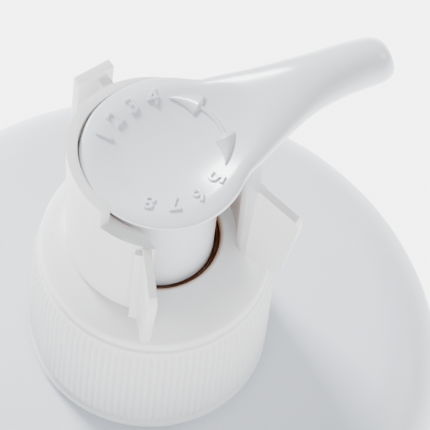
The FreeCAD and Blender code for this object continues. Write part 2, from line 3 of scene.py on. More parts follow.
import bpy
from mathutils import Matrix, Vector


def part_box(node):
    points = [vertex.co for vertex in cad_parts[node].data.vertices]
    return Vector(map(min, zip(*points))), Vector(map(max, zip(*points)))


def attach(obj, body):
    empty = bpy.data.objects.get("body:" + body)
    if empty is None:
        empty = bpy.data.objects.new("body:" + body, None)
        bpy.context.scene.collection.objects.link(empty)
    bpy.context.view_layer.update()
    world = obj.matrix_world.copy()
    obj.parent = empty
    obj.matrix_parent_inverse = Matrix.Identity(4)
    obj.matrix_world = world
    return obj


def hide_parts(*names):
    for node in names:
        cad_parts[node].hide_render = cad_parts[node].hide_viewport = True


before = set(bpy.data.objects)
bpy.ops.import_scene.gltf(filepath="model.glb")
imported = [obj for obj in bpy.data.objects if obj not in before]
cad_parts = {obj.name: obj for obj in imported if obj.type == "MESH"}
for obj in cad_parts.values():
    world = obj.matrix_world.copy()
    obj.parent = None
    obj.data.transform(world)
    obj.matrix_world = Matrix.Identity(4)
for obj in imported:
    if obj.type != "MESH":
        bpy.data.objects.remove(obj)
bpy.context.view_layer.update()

import logging
import math
from dataclasses import dataclass
from enum import Enum

import bmesh
import bpy
from mathutils import Matrix, Vector
from mathutils.bvhtree import BVHTree

logging.basicConfig(level=logging.INFO, format="%(message)s")
log = logging.getLogger("pump_bottle")

MM = 0.001
AXIS_UP = Vector((0.0, 0.0, 1.0))


class Turn(Enum):
    """Angles about the bottle's axis, in degrees, at which parts face."""

    SPOUT = 32.5


# ------------------------------------------------------------------ finishes
@dataclass(frozen=True)
class Moulding:
    """A moulded plastic, with a slow drift of tint, fine grain and faint flow ripples."""

    name: str
    colour: tuple[float, float, float]
    shade: tuple[float, float, float]
    roughness: float
    ripple_size: float = 0.020
    ripple_height: float = 0.00006
    grain_size: float = 0.0011
    grain_height: float = 0.000006
    coat: float = 0.0
    translucency: float = 0.12
    # Amber near the stem: a real oil stain on the cap, a painted reflection of the oil's amber light on the
    # clip.
    stain_and_reflection_radius: float = 0.0
    stain_and_reflection_strength: float = 0.85

    def build(self) -> bpy.types.Material:
        """Make the material.

        Returns:
            The node-based material, ready for a piece's slot.
        """
        material = bpy.data.materials.new(self.name)
        material.use_nodes = True
        tree = material.node_tree
        shader = tree.nodes["Principled BSDF"]
        shader.inputs["IOR"].default_value = 1.49
        shader.inputs["Coat Weight"].default_value = self.coat
        shader.inputs["Coat Roughness"].default_value = 0.12
        shader.inputs["Subsurface Weight"].default_value = self.translucency
        shader.inputs["Subsurface Radius"].default_value = (1.0, 0.9, 0.8)
        shader.inputs["Subsurface Scale"].default_value = 0.002
        place = tree.nodes.new("ShaderNodeTexCoord").outputs["Object"]
        drift = self._noise(tree, place, self.ripple_size * 1.6, 3.0)
        tint = tree.nodes.new("ShaderNodeMix")
        tint.data_type = "RGBA"
        tint.inputs["A"].default_value = (*self.colour, 1.0)
        tint.inputs["B"].default_value = (*self.shade, 1.0)
        tree.links.new(drift, tint.inputs["Factor"])
        colour = tint.outputs["Result"]
        # amber near the stem: oil stain on the cap, painted amber reflection on the clip
        if self.stain_and_reflection_radius:
            colour = self._stain_and_reflection(tree, place, colour)
        tree.links.new(colour, shader.inputs["Base Color"])
        polish = tree.nodes.new("ShaderNodeMapRange")
        polish.inputs["To Min"].default_value = self.roughness * 0.85
        polish.inputs["To Max"].default_value = self.roughness * 1.2
        tree.links.new(self._noise(tree, place, 0.006, 4.0), polish.inputs["Value"])
        tree.links.new(polish.outputs["Result"], shader.inputs["Roughness"])
        ripple = self._bump(tree, self._noise(tree, place, self.ripple_size, 1.0), self.ripple_height, None)
        grain = self._bump(tree, self._noise(tree, place, self.grain_size, 2.0), self.grain_height, ripple)
        tree.links.new(grain, shader.inputs["Normal"])
        return material

    def _noise(self, tree: bpy.types.NodeTree, place: bpy.types.NodeSocket, size: float,
               detail: float) -> bpy.types.NodeSocket:
        """Add a noise of a given feature size in metres.

        Args:
            tree: The material's nodes.
            place: Where the coordinates come from.
            size: Feature size, in metres.
            detail: Number of octaves.

        Returns:
            The noise's factor socket.
        """
        noise = tree.nodes.new("ShaderNodeTexNoise")
        noise.inputs["Scale"].default_value = 1.0 / size
        noise.inputs["Detail"].default_value = detail
        tree.links.new(place, noise.inputs["Vector"])
        return noise.outputs["Fac"]

    def _bump(self, tree: bpy.types.NodeTree, height: bpy.types.NodeSocket, depth: float,
              under: bpy.types.NodeSocket | None) -> bpy.types.NodeSocket:
        """Turn a height into a bumped normal, on top of another one if given.

        Args:
            tree: The material's nodes.
            height: Height, from 0 to 1.
            depth: Height of the relief, in metres.
            under: Normal to build on, or None.

        Returns:
            The bumped normal's socket.
        """
        bump = tree.nodes.new("ShaderNodeBump")
        bump.inputs["Distance"].default_value = depth
        tree.links.new(height, bump.inputs["Height"])
        if under is not None:
            tree.links.new(under, bump.inputs["Normal"])
        return bump.outputs["Normal"]

    def _stain_and_reflection(self, tree: bpy.types.NodeTree, place: bpy.types.NodeSocket,
                 untinted: bpy.types.NodeSocket) -> bpy.types.NodeSocket:
        """Tint the plastic amber close to the oily gap around the stem: on the cap a real oil stain, on the
        clip a painted reflection of the oil's amber light.

        Args:
            tree: The material's nodes.
            place: Where the coordinates come from.
            untinted: The colour without the amber stain and painted reflection.

        Returns:
            The tinted colour's socket.
        """
        flat = tree.nodes.new("ShaderNodeVectorMath")
        flat.operation = "MULTIPLY"
        flat.inputs[1].default_value = (1.0, 1.0, 0.0)
        tree.links.new(place, flat.inputs[0])
        reach = tree.nodes.new("ShaderNodeVectorMath")
        reach.operation = "LENGTH"
        tree.links.new(flat.outputs["Vector"], reach.inputs[0])
        near = tree.nodes.new("ShaderNodeMapRange")
        near.interpolation_type = "SMOOTHERSTEP"
        near.inputs["From Min"].default_value = self.stain_and_reflection_radius
        near.inputs["From Max"].default_value = self.stain_and_reflection_radius + 0.0011
        near.inputs["To Min"].default_value = self.stain_and_reflection_strength
        near.inputs["To Max"].default_value = 0.0
        tree.links.new(reach.outputs["Value"], near.inputs["Value"])
        amber_mix = tree.nodes.new("ShaderNodeMix")
        amber_mix.data_type = "RGBA"
        # amber shared by the cap's oil stain and the clip's painted reflection
        amber_mix.inputs["B"].default_value = (0.42, 0.17, 0.035, 1.0)
        tree.links.new(near.outputs["Result"], amber_mix.inputs["Factor"])
        tree.links.new(untinted, amber_mix.inputs["A"])
        return amber_mix.outputs["Result"]


@dataclass(frozen=True)
class Steel:
    """Drawn or polished stainless steel, with faint streaks."""

    name: str
    roughness: float

    def build(self) -> bpy.types.Material:
        """Make the material.

        Returns:
            The node-based material.
        """
        material = bpy.data.materials.new(self.name)
        material.use_nodes = True
        tree = material.node_tree
        shader = tree.nodes["Principled BSDF"]
        shader.inputs["Metallic"].default_value = 1.0
        place = tree.nodes.new("ShaderNodeTexCoord").outputs["Object"]
        streak = tree.nodes.new("ShaderNodeTexNoise")
        streak.inputs["Scale"].default_value = 900.0
        tree.links.new(place, streak.inputs["Vector"])
        tone = tree.nodes.new("ShaderNodeMix")
        tone.data_type = "RGBA"
        tone.inputs["A"].default_value = (0.60, 0.60, 0.61, 1.0)
        tone.inputs["B"].default_value = (0.74, 0.74, 0.75, 1.0)
        tree.links.new(streak.outputs["Fac"], tone.inputs["Factor"])
        tree.links.new(tone.outputs["Result"], shader.inputs["Base Color"])
        polish = tree.nodes.new("ShaderNodeMapRange")
        polish.inputs["To Min"].default_value = self.roughness * 0.8
        polish.inputs["To Max"].default_value = self.roughness * 1.3
        tree.links.new(streak.outputs["Fac"], polish.inputs["Value"])
        tree.links.new(polish.outputs["Result"], shader.inputs["Roughness"])
        return material


@dataclass(frozen=True)
class OilAndShadeFilm:
    """Dark amber massage oil that has crept up around the stem, made near black so that it also paints the
    shade in the gap.
    """

    name: str = "oil_residue_and_gap_shade"

    def build(self) -> bpy.types.Material:
        """Make the material.

        Returns:
            The node-based material.
        """
        material = bpy.data.materials.new(self.name)
        material.use_nodes = True
        tree = material.node_tree
        shader = tree.nodes["Principled BSDF"]
        shader.inputs["Roughness"].default_value = 0.16
        shader.inputs["IOR"].default_value = 1.47
        place = tree.nodes.new("ShaderNodeTexCoord").outputs["Object"]
        blotch = tree.nodes.new("ShaderNodeTexNoise")
        blotch.inputs["Scale"].default_value = 260.0
        tree.links.new(place, blotch.inputs["Vector"])
        tone = tree.nodes.new("ShaderNodeMix")
        tone.data_type = "RGBA"
        # near black to dark amber: real oil, darkened as painted shade in the gap
        tone.inputs["A"].default_value = (0.012, 0.002, 0.001, 1.0)
        tone.inputs["B"].default_value = (0.10, 0.028, 0.006, 1.0)
        tree.links.new(blotch.outputs["Fac"], tone.inputs["Factor"])
        tree.links.new(tone.outputs["Result"], shader.inputs["Base Color"])
        return material


BOTTLE_PLASTIC = Moulding("bottle_polyethylene", (0.74, 0.79, 0.87), (0.80, 0.84, 0.90), 0.36,
                          ripple_size=0.030, ripple_height=0.00012, translucency=0.2)
CAP_PLASTIC = Moulding("cap_polypropylene", (0.86, 0.86, 0.87), (0.82, 0.83, 0.85), 0.33,
                       stain_and_reflection_radius=0.0111)
HEAD_PLASTIC = Moulding("head_polypropylene", (0.74, 0.78, 0.84), (0.80, 0.83, 0.88), 0.24,
                        ripple_size=0.012, ripple_height=0.00004, coat=0.25)
# The clip's amber near the stem is a painted reflection of light from the oil.
CLIP_PLASTIC = Moulding("clip_polypropylene", (0.78, 0.78, 0.77), (0.83, 0.83, 0.83), 0.30, coat=0.1,
                        stain_and_reflection_radius=0.0139, stain_and_reflection_strength=0.4)
PUMP_PLASTIC = Moulding("pump_polypropylene", (0.76, 0.78, 0.77), (0.82, 0.83, 0.82), 0.42)
PISTON_PLASTIC = Moulding("piston_polyethylene", (0.82, 0.82, 0.77), (0.78, 0.78, 0.74), 0.5)
TUBE_PLASTIC = Moulding("tube_polyethylene", (0.80, 0.82, 0.82), (0.85, 0.86, 0.86), 0.38, translucency=0.4)
GASKET_FOAM = Moulding("gasket_foam", (0.80, 0.80, 0.77), (0.70, 0.70, 0.67), 0.85,
                       grain_size=0.0005, grain_height=0.00006)
SEAL_RUBBER = Moulding("seal_rubber", (0.60, 0.60, 0.57), (0.66, 0.66, 0.63), 0.6)


# ------------------------------------------------------------------ mesh helpers
def finish_mesh(name: str, bm: bmesh.types.BMesh, body: str, slot: str,
                material: bpy.types.Material, *replaced: str) -> bpy.types.Object:
    """Turn a bmesh into a finished piece that rides on a body.

    Args:
        name: The piece's name.
        bm: The mesh being built, in metres; it is freed.
        body: The body that the piece moves with.
        slot: The record's material slot; not used.
        material: The finish.
        replaced: Names of the CAD nodes that the piece stands for.

    Returns:
        The new object.
    """
    bmesh.ops.remove_doubles(bm, verts=bm.verts, dist=0.000002)
    bmesh.ops.recalc_face_normals(bm, faces=bm.faces)
    mesh = bpy.data.meshes.new(name)
    bm.to_mesh(mesh)
    bm.free()
    for polygon in mesh.polygons:
        polygon.use_smooth = True
    mesh.materials.append(material)
    piece = bpy.data.objects.new(name, mesh)
    bpy.context.scene.collection.objects.link(piece)
    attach(piece, body)
    if replaced:
        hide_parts(*replaced)
    log.info("%s: %d faces on %s", name, len(mesh.polygons), body)
    return piece


def spun(outline: list[tuple[float, float]], steps: int) -> bmesh.types.BMesh:
    """Spin a closed outline about the bottle's axis.

    Args:
        outline: (radius, height) points, in metres.
        steps: Number of segments in the full turn.

    Returns:
        The bmesh of the turned solid.
    """
    bm = bmesh.new()
    verts = [bm.verts.new((radius, 0.0, height)) for radius, height in outline]
    edges = [bm.edges.new((verts[i - 1], verts[i])) for i in range(len(verts))]
    bmesh.ops.spin(bm, geom=verts + edges, cent=(0, 0, 0), axis=AXIS_UP, angle=math.tau,
                   steps=steps, use_merge=True, use_duplicate=False)
    return bm


def arc(centre: tuple[float, float], radius: float, start: float, end: float,
        count: int) -> list[tuple[float, float]]:
    """Points of a rounding in an outline.

    Args:
        centre: (radius, height) of the rounding's centre.
        radius: Radius of the rounding.
        start: First angle, in degrees, 0 outwards and 90 up.
        end: Last angle, in degrees.
        count: Number of steps.

    Returns:
        The points, with both ends.
    """
    angles = [math.radians(start + (end - start) * i / count) for i in range(count + 1)]
    return [(centre[0] + radius * math.cos(a), centre[1] + radius * math.sin(a)) for a in angles]


def soften(piece: bpy.types.Object, width: float, segments: int = 2) -> None:
    """Round a piece's edges with a bevel modifier.

    Args:
        piece: The piece.
        width: Width of the rounding, in metres.
        segments: Steps across it.
    """
    bevel = piece.modifiers.new("rounded_edges", "BEVEL")
    bevel.width = width
    bevel.segments = segments
    bevel.limit_method = "ANGLE"
    bevel.angle_limit = math.radians(32)
    bevel.harden_normals = False


def merged_copy(node: str) -> bmesh.types.BMesh:
    """Copy a CAD node's mesh with its loose triangles merged into faces.

    Args:
        node: The CAD node.

    Returns:
        The bmesh of the copy.
    """
    bm = bmesh.new()
    bm.from_mesh(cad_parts[node].data)
    bmesh.ops.remove_doubles(bm, verts=bm.verts, dist=0.000004)
    bmesh.ops.dissolve_limit(bm, angle_limit=math.radians(0.6), verts=bm.verts, edges=bm.edges)
    return bm


# ------------------------------------------------------------------ sub-assemblies
@dataclass
class Bottle:
    """The blow-moulded bottle."""

    wall: float = 1.6 * MM
    base_round: float = 6.0 * MM
    shoulder_round: float = 13.0 * MM
    shoulder_drop: float = 3.2 * MM
    neck_radius: float = 17.6 * MM
    bore_radius: float = 15.0 * MM
    ring_radius: float = 40.0 * MM
    push_up: float = 1.5 * MM

    def build(self) -> None:
        """Make the shell with a smooth shoulder, standing ring and threaded neck."""
        low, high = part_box("bottle")
        radius = high[0]
        lip = high[2]
        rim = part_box("cap")[0][2]
        root = rim - 1.0 * MM
        edge = root - self.shoulder_drop
        slope = math.degrees(math.atan2(self.shoulder_drop, radius - self.neck_radius))
        centre_radius = radius - self.shoulder_round
        drop = (centre_radius - self.neck_radius) * math.tan(math.radians(slope))
        centre_height = root - drop - self.shoulder_round / math.cos(math.radians(slope))
        outer = [(0.00001, self.push_up), (self.ring_radius - 2.0 * MM, self.push_up),
                 (self.ring_radius - 0.6 * MM, 0.35 * MM), (self.ring_radius + 0.6 * MM, 0.0)]
        outer += arc((radius - self.base_round, self.base_round), self.base_round, -90, 0, 10)
        outer += [(radius, edge * (i + 1) / 12) for i in range(10)]
        outer += arc((centre_radius, centre_height), self.shoulder_round, 0, 90 - slope, 18)
        outer += [(self.neck_radius + 12.0 * MM, root - 12.0 * MM * math.tan(math.radians(slope)))]
        outer += arc((self.neck_radius + 1.0 * MM, root + 1.0 * MM), 1.0 * MM, 270, 180, 5)
        outer += [(self.neck_radius, lip - 0.5 * MM), (self.neck_radius - 0.5 * MM, lip)]
        inner_centre = centre_height - 0.2 * MM
        inner = [(self.bore_radius + 0.4 * MM, lip), (self.bore_radius, lip - 0.4 * MM),
                 (self.bore_radius, root - 1.8 * MM)]
        inner += arc((centre_radius, inner_centre), self.shoulder_round - self.wall, 90 - slope, 0, 12)
        inner += arc((radius - self.base_round, self.base_round), self.base_round - self.wall, 0, -90, 8)
        inner += [(self.ring_radius, self.wall), (self.ring_radius - 1.5 * MM, self.push_up + self.wall),
                  (0.00001, self.push_up + self.wall)]
        bm = spun(outer + inner, 144)
        finish_mesh("bottle_shell", bm, "bottle", "bottle_hdpe", BOTTLE_PLASTIC.build(), "bottle")
        self._thread(rim)

    def _thread(self, rim: float) -> None:
        """Make the neck's helical thread.

        Args:
            rim: Height of the cap's lower rim.
        """
        pitch, turns, steps = 4.23 * MM, 1.3, 94
        bottom = rim + 11.0 * MM
        bm = bmesh.new()
        outline = [(self.neck_radius - 0.2 * MM, bottom), (18.7 * MM, bottom + 0.5 * MM),
                   (18.7 * MM, bottom + 1.6 * MM), (self.neck_radius - 0.2 * MM, bottom + 2.1 * MM)]
        verts = [bm.verts.new((radius, 0.0, height)) for radius, height in outline]
        face = bm.faces.new(verts)
        rise = (0.0, 0.0, pitch * turns / steps)
        bmesh.ops.spin(bm, geom=[face], cent=(0, 0, 0), axis=AXIS_UP, dvec=rise,
                       angle=math.tau * turns, steps=steps, use_merge=False, use_duplicate=True)
        bmesh.ops.remove_doubles(bm, verts=bm.verts, dist=0.000002)
        inside = [f for f in bm.faces if len(f.edges) == 4 and all(len(e.link_faces) > 2 for e in f.edges)]
        bmesh.ops.delete(bm, geom=inside, context="FACES")
        finish_mesh("neck_thread", bm, "bottle", "bottle_hdpe", BOTTLE_PLASTIC.build())


@dataclass
class ScrewCap:
    """The ribbed closure with its domed crown and oily stem hole."""

    wall_radius: float = 20.8 * MM
    hole_radius: float = 11.15 * MM
    bore_radius: float = 19.1 * MM
    ribs: int = 104
    rib_foot: float = 1.7 * MM
    rib_top: float = 24.9 * MM
    groove: float = 26.6 * MM
    crown: float = 28.4 * MM
    ceiling: float = 29.2 * MM

    def build(self) -> None:
        """Make the cap as one turned shell whose side is pushed out into ribs."""
        low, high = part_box("cap")
        rim, top, radius = low[2], high[2], high[0]
        bead = radius - 0.1 * MM
        outline = [(self.bore_radius, rim + 0.4 * MM), (self.bore_radius + 0.4 * MM, rim)]
        outline += arc((bead - 0.5 * MM, rim + 0.5 * MM), 0.5 * MM, -90, 0, 4)
        outline += arc((bead - 0.4 * MM, rim + self.rib_foot - 0.5 * MM), 0.4 * MM, 0, 70, 4)
        side = 12
        outline += [(self.wall_radius, rim + self.rib_foot + (self.rib_top - self.rib_foot) * i / side)
                    for i in range(side + 1)]
        outline += [(self.wall_radius, rim + self.groove - 0.7 * MM),
                    (self.wall_radius - 0.08 * MM, rim + self.groove - 0.35 * MM),
                    (self.wall_radius - 0.5 * MM, rim + self.groove - 0.1 * MM),
                    (self.wall_radius - 0.5 * MM, rim + self.groove + 0.1 * MM),
                    (self.wall_radius - 0.22 * MM, rim + self.groove + 0.45 * MM),
                    (self.wall_radius - 0.22 * MM, rim + self.crown - 0.7 * MM)]
        outline += self._dome(rim, top)
        outline += [(self.hole_radius, top - 0.6 * MM), (self.hole_radius, rim + self.ceiling),
                    (self.bore_radius - 1.3 * MM, rim + self.ceiling),
                    (self.bore_radius, rim + self.ceiling - 1.7 * MM)]
        bm = spun(outline, self.ribs * 8)
        self._raise_ribs(bm, rim)
        finish_mesh("ribbed_cap", bm, "cap", "cap_pp", CAP_PLASTIC.build(), "cap")

    def _dome(self, rim: float, top: float) -> list[tuple[float, float]]:
        """Outline of the crown.

        Args:
            rim: Height of the lower rim.
            top: Height of the crown at the hole.

        Returns:
            Points from the crown's shoulder in to the hole.
        """
        start = Vector((self.wall_radius - 0.2 * MM, rim + self.crown))
        end = Vector((self.hole_radius, top))
        radius = 10.0 * MM
        chord = end - start
        side = Vector((-chord.y, chord.x)).normalized()
        centre = (start + end) / 2 + side * math.sqrt(radius ** 2 - (chord.length / 2) ** 2)
        first = math.degrees(math.atan2(*(start - centre).yx))
        last = math.degrees(math.atan2(*(end - centre).yx))
        points = arc(tuple(centre), radius, first, last, 22)
        softened = [(points[0][0] - 0.02 * MM, points[0][1] - 0.35 * MM)] + points[1:-1]
        edge = [(self.hole_radius + 0.25 * MM, top - 0.04 * MM), (self.hole_radius, top - 0.3 * MM)]
        return softened + edge

    def _raise_ribs(self, bm: bmesh.types.BMesh, rim: float) -> None:
        """Push the side out into upright ribs that fade at both ends.

        Args:
            bm: The turned cap.
            rim: Height of the lower rim.
        """
        foot, head = rim + self.rib_foot, rim + self.rib_top
        fade = 1.4 * MM
        for vert in bm.verts:
            reach = math.hypot(vert.co.x, vert.co.y)
            on_wall = abs(reach - self.wall_radius) < 0.02 * MM
            if not (on_wall and foot - 0.01 * MM < vert.co.z < head + 0.01 * MM):
                continue
            phase = math.cos(math.atan2(vert.co.y, vert.co.x) * self.ribs)
            ends = min(1.0, (vert.co.z - foot) / fade, (head - vert.co.z) / fade)
            grown = 0.66 * MM * max(0.0, ends) * (0.5 + 0.5 * phase) ** 0.55
            vert.co.x *= 1.0 + grown / reach
            vert.co.y *= 1.0 + grown / reach


@dataclass
class Actuator:
    """The head with its dish and long spout, its markings, and the stem."""

    disc_radius: float = 14.9 * MM
    dish_radius: float = 31.3 * MM
    dish_offset: float = -2.5 * MM
    dish_depth: float = 0.35 * MM
    reach: float = 42.8 * MM
    bore_radius: float = 2.5 * MM
    plug_radius: float = 8.2 * MM
    blend: float = 0.55 * MM
    rows: int = 190
    columns: int = 96
    even_share: float = 0.15
    plug_drop: float = 1.6 * MM
    plug_edge: float = 0.8 * MM
    spout_centre: float = 4.25 * MM

    def build(self) -> None:
        """Make the head, its markings and the stem."""
        self.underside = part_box("stem")[1][2]
        material = HEAD_PLASTIC.build()
        self._head(material)
        self._markings(material)
        self._stem(material)

    def half_width(self, along: float) -> float:
        """Half width of the plan at a distance along the spout's way.

        Args:
            along: Distance from the axis, negative behind it.

        Returns:
            Half the width, in metres.
        """
        disc = math.sqrt(max(0.0, self.disc_radius ** 2 - along ** 2))
        stations = ((0.0, 12.3), (4.0, 11.7), (9.0, 10.7), (14.0, 9.3), (20.0, 7.2), (26.0, 5.6),
                    (32.0, 4.8), (37.0, 4.5), (40.5, 4.25), (41.8, 3.8), (42.5, 3.3), (42.8, 2.95))
        spout = self._between(stations, along / MM) * MM if along > 0 else 0.0
        if disc <= 0.0 or spout <= 0.0:
            return max(disc, spout)
        gap = 1.2 * MM
        mix = max(0.0, gap - abs(disc - spout)) / gap
        return max(disc, spout) + mix * mix * gap / 4

    def roof(self, along: float) -> float:
        """Height of the top over the underside, before the dish is scooped out.

        Args:
            along: Distance from the axis along the spout's way.

        Returns:
            The height, in metres.
        """
        stations = ((-16.0, 1.6), (-2.0, 1.7), (4.0, 2.6), (9.0, 3.65), (14.0, 5.3), (20.0, 7.6),
                    (26.0, 9.5), (32.0, 10.15), (37.0, 9.85), (40.5, 8.95), (41.8, 8.25), (42.5, 7.6),
                    (42.8, 7.1))
        return self._between(stations, along / MM) * MM

    def floor(self, along: float) -> float:
        """Height of the bottom over the underside's plane.

        Args:
            along: Distance from the axis along the spout's way.

        Returns:
            The height, in metres.
        """
        stations = ((-16.0, 0.0), (8.0, 0.02), (14.0, 0.5), (20.0, 1.4), (26.0, 2.25), (32.0, 2.0),
                    (37.0, 1.3), (40.5, 0.75), (41.8, 0.82), (42.5, 1.1), (42.8, 1.4))
        return self._between(stations, along / MM) * MM

    @staticmethod
    def _between(stations: tuple[tuple[float, float], ...], where: float) -> float:
        """Smooth value between stations (Catmull-Rom through the four nearest).

        Args:
            stations: (place, value) pairs in rising order.
            where: The place asked for.

        Returns:
            The value there.
        """
        where = min(max(where, stations[0][0]), stations[-1][0])
        index = max(i for i, s in enumerate(stations[:-1]) if s[0] <= where)
        before = stations[max(index - 1, 0)]
        first, second = stations[index], stations[index + 1]
        after = stations[min(index + 2, len(stations) - 1)]
        span = second[0] - first[0]
        t = (where - first[0]) / span
        slope_a = (second[1] - before[1]) / max(second[0] - before[0], 1e-6) * span
        slope_b = (after[1] - first[1]) / max(after[0] - first[0], 1e-6) * span
        return ((2 * t ** 3 - 3 * t ** 2 + 1) * first[1] + (t ** 3 - 2 * t ** 2 + t) * slope_a
                + (3 * t ** 2 - 2 * t ** 3) * second[1] + (t ** 3 - t ** 2) * slope_b)

    def top(self, along: float, across: float, outer: float) -> float:
        """Height of the dished top over the underside.

        Args:
            along: Distance from the axis along the spout's way.
            across: Distance to the side.
            outer: Height of the undished top there.

        Returns:
            The height, in metres.
        """
        spread = (along - self.dish_offset) ** 2 + across ** 2
        scoop = self.dish_radius - math.sqrt(max(self.dish_radius ** 2 - spread, 0.0)) - self.dish_depth
        mix = max(self.blend - abs(outer - scoop), 0.0) / self.blend
        return min(outer, scoop) - mix * mix * self.blend / 4

    def _head(self, material: bpy.types.Material) -> None:
        """Wrap a grid round the head's sections and open the spout.

        Args:
            material: The finish.
        """
        bm = bmesh.new()
        bmesh.ops.create_grid(bm, x_segments=self.rows, y_segments=self.columns, size=1.0)
        back, front = -self.disc_radius, self.reach
        for vert in bm.verts:
            way = (vert.co.x + 1.0) / 2
            eased = way * way * (3.0 - 2.0 * way)
            along = back + (front - back) * (self.even_share * way + (1.0 - self.even_share) * eased)
            angle = math.pi * vert.co.y
            wide = max(self.half_width(along), 0.00001)
            tall = self.roof(along)
            slim = min(1.0, wide / (3.0 * MM)) if along < 0 else 1.0
            tall = tall * slim
            power = 0.5 + 0.5 * min(1.0, max(0.0, (along - 4.0 * MM) / (26.0 * MM)))
            across = wide * math.copysign(abs(math.cos(angle)) ** power, math.cos(angle))
            low = self.floor(along)
            lift = (1.0 + math.copysign(abs(math.sin(angle)) ** power, math.sin(angle))) / 2
            lift = low + (tall - low) * lift
            if math.sin(angle) > 0:
                lift = self.top(along, across, lift)
            else:
                plug = (self.plug_radius - math.hypot(along, across)) / self.plug_edge
                lift -= self.plug_drop * min(max(plug, 0.0), 1.0)
            vert.co = Vector((along, across, self.underside + lift))
        bmesh.ops.remove_doubles(bm, verts=bm.verts, dist=0.00002)
        ends = [edge for edge in bm.edges if edge.is_boundary
                and all(abs(v.co.x - front) < 0.00005 for v in edge.verts)]
        self._open_spout(bm, ends)
        rest = [edge for edge in bm.edges if edge.is_boundary]
        if rest:
            bmesh.ops.holes_fill(bm, edges=rest, sides=0)
        turn = Matrix.Rotation(math.radians(Turn.SPOUT.value), 4, "Z")
        bmesh.ops.transform(bm, matrix=turn, verts=bm.verts)
        bm.normal_update()
        self.skin = BVHTree.FromBMesh(bm)
        finish_mesh("pump_head", bm, "actuator", "head_pp", material, "head")

    def _open_spout(self, bm: bmesh.types.BMesh, ends: list[bmesh.types.BMEdge]) -> None:
        """Close the spout's tip with a ring and sink its bore.

        Args:
            bm: The head being built.
            ends: The edges round the tip.
        """
        centre = Vector((self.reach, 0.0, self.underside + self.spout_centre))
        for depth in (0.0, 3.0, 12.0):
            made = bmesh.ops.extrude_edge_only(bm, edges=ends)["geom"]
            ends = [item for item in made if isinstance(item, bmesh.types.BMEdge)]
            for vert in {v for edge in ends for v in edge.verts}:
                spoke = Vector((0.0, vert.co.y - centre.y, vert.co.z - centre.z)).normalized()
                vert.co = centre + spoke * self.bore_radius - Vector((depth * MM, 0.0, 0.0))

    def _markings(self, material: bpy.types.Material) -> None:
        """Raise the generic turning marks on the dish.

        Args:
            material: The finish.
        """
        groups = (("closed", "1234", 138.5, 10.9, -20.5), ("open", "5678", -62.0, 9.9, -25.5))
        for group, marks, middle, radius, pitch in groups:
            for index, mark in enumerate(marks):
                angle = middle - pitch * (len(marks) - 1) / 2 + pitch * index
                self._letter(mark, angle, radius * MM, f"mark_{group}_{index}", material)
        self._arrow(material)

    def _surface(self, x: float, y: float) -> float:
        """Height of the head's top surface at a place in the frame.

        Args:
            x: Place along X.
            y: Place along Y.

        Returns:
            The height, in metres.
        """
        hit = self.skin.ray_cast(Vector((x, y, 1.0)), -AXIS_UP)[0]
        if hit is None:
            raise RuntimeError(f"no head under {x:.4f}, {y:.4f}")
        return hit.z

    def _letter(self, letter: str, angle: float, radius: float, name: str,
                material: bpy.types.Material) -> None:
        """Raise one letter, with its top outwards.

        Args:
            letter: The letter.
            angle: Its angle about the axis, in degrees.
            radius: Distance of its middle from the axis.
            name: The piece's name.
            material: The finish.
        """
        curve = bpy.data.curves.new(name, "FONT")
        curve.body = letter
        curve.size = 4.2 * MM
        curve.align_x, curve.align_y = "CENTER", "CENTER"
        curve.extrude = 0.34 * MM
        curve.bevel_depth = 0.09 * MM
        holder = bpy.data.objects.new(name, curve)
        bpy.context.scene.collection.objects.link(holder)
        bpy.context.view_layer.update()
        mesh = bpy.data.meshes.new_from_object(holder.evaluated_get(bpy.context.evaluated_depsgraph_get()))
        bpy.data.objects.remove(holder)
        bm = bmesh.new()
        bm.from_mesh(mesh)
        turn = Matrix.Rotation(math.radians(angle - 90.0), 4, "Z")
        shift = Matrix.Translation(Vector((0.0, radius, 0.0)))
        bmesh.ops.transform(bm, matrix=turn @ shift, verts=bm.verts)
        for vert in bm.verts:
            vert.co.z += self._surface(vert.co.x, vert.co.y) + 0.05 * MM
        finish_mesh(name, bm, "actuator", "head_pp", material)

    def _arrow(self, material: bpy.types.Material) -> None:
        """Raise the double-headed curved arrow between the two words.

        Args:
            material: The finish.
        """
        bm = bmesh.new()
        first, last, radius = 93.0, -8.0, 10.6 * MM
        head = 31.0
        stations = []
        count = 44
        for index in range(count + 1):
            angle = first + (last - first) * index / count
            away = min(first - angle, angle - last)
            half = 0.34 * MM if away > head else 1.75 * MM * away / head + 0.03 * MM
            stations.append((math.radians(angle), half))
        rows = []
        for angle, half in stations:
            pair = []
            for side in (-1, 1):
                reach = radius + side * half
                x, y = reach * math.cos(angle), reach * math.sin(angle)
                pair.append(bm.verts.new((x, y, self._surface(x, y) + 0.36 * MM)))
            rows.append(pair)
        faces = [bm.faces.new((a[0], a[1], b[1], b[0])) for a, b in zip(rows, rows[1:])]
        made = bmesh.ops.extrude_face_region(bm, geom=faces)["geom"]
        lowered = [item for item in made if isinstance(item, bmesh.types.BMVert)]
        bmesh.ops.translate(bm, vec=(0.0, 0.0, -0.4 * MM), verts=lowered)
        finish_mesh("mark_arrow", bm, "actuator", "head_pp", material)

    def _stem(self, material: bpy.types.Material) -> None:
        """Make the hollow stem.

        Args:
            material: The finish.
        """
        low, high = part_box("stem")
        radius, bore = high[0], high[0] - 1.7 * MM
        outline = [(bore, low[2]), (radius - 0.2 * MM, low[2]), (radius, low[2] + 0.2 * MM)]
        outline += [(radius, low[2] + (high[2] - low[2] - 0.0002) * i / 12) for i in range(1, 12)]
        outline += [(radius, high[2]), (bore, high[2])]
        finish_mesh("stem_tube", spun(outline, 128), "actuator", "head_pp", material, "stem")


